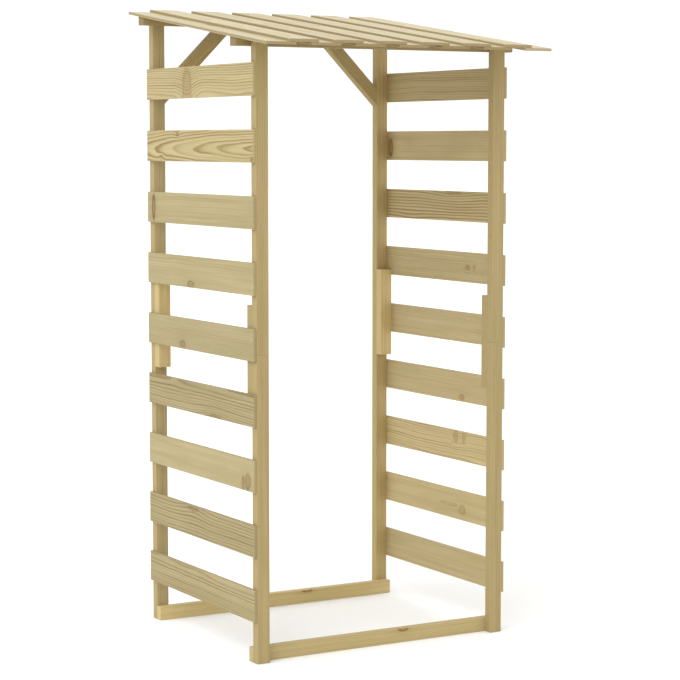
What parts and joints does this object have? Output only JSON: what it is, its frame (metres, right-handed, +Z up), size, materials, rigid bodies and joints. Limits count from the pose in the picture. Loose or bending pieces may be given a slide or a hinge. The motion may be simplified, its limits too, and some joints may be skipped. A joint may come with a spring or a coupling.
{
  "type": "roofed pergola",
  "caption": "Small free-standing lean-to shelter with posts, slatted sides, an open front and back, corner braces at the back and a roof of overlapping boards.",
  "frame": {"origin": "on the ground, at the middle of the outline of the whole part seen from above, which the roof sets", "axes": "+Z up, +X to the right seen from the open front, +Y to the back, so that the roof falls towards -Y"},
  "size_m": [1, 0.9572, 2.0069],
  "materials": {
    "posts": "planed pine, pressure impregnated, matt",
    "rails": "planed pine, pressure impregnated, matt",
    "slats": "planed pine board, pressure impregnated, matt",
    "roof_boards": "planed pine board, pressure impregnated, matt"
  },
  "bodies": {
    "root": {"front_left_post_lower": "posts", "front_left_post_upper": "posts", "front_right_post_lower": "posts", "front_right_post_upper": "posts", "back_left_post_lower": "posts", "back_left_post_upper": "posts", "back_right_post_lower": "posts", "back_right_post_upper": "posts", "front_left_cleat": "posts", "front_right_cleat": "posts", "back_left_cleat": "posts", "back_right_cleat": "posts", "front_base_rail": "rails", "back_base_rail": "rails", "front_head_rail": "rails", "back_head_rail": "rails", "left_brace": "posts", "right_brace": "posts", "left_slat_1": "slats", "left_slat_2": "slats", "left_slat_3": "slats", "left_slat_4": "slats", "left_slat_5": "slats", "left_slat_6": "slats", "left_slat_7": "slats", "left_slat_8": "slats", "left_slat_9": "slats", "right_slat_1": "slats", "right_slat_2": "slats", "right_slat_3": "slats", "right_slat_4": "slats", "right_slat_5": "slats", "right_slat_6": "slats", "right_slat_7": "slats", "right_slat_8": "slats", "right_slat_9": "slats", "under_board_1": "roof_boards", "under_board_2": "roof_boards", "under_board_3": "roof_boards", "under_board_4": "roof_boards", "under_board_5": "roof_boards", "under_board_6": "roof_boards", "under_board_7": "roof_boards", "over_board_1": "roof_boards", "over_board_2": "roof_boards", "over_board_3": "roof_boards", "over_board_4": "roof_boards", "over_board_5": "roof_boards", "over_board_6": "roof_boards"}
  },
  "joints": []
}
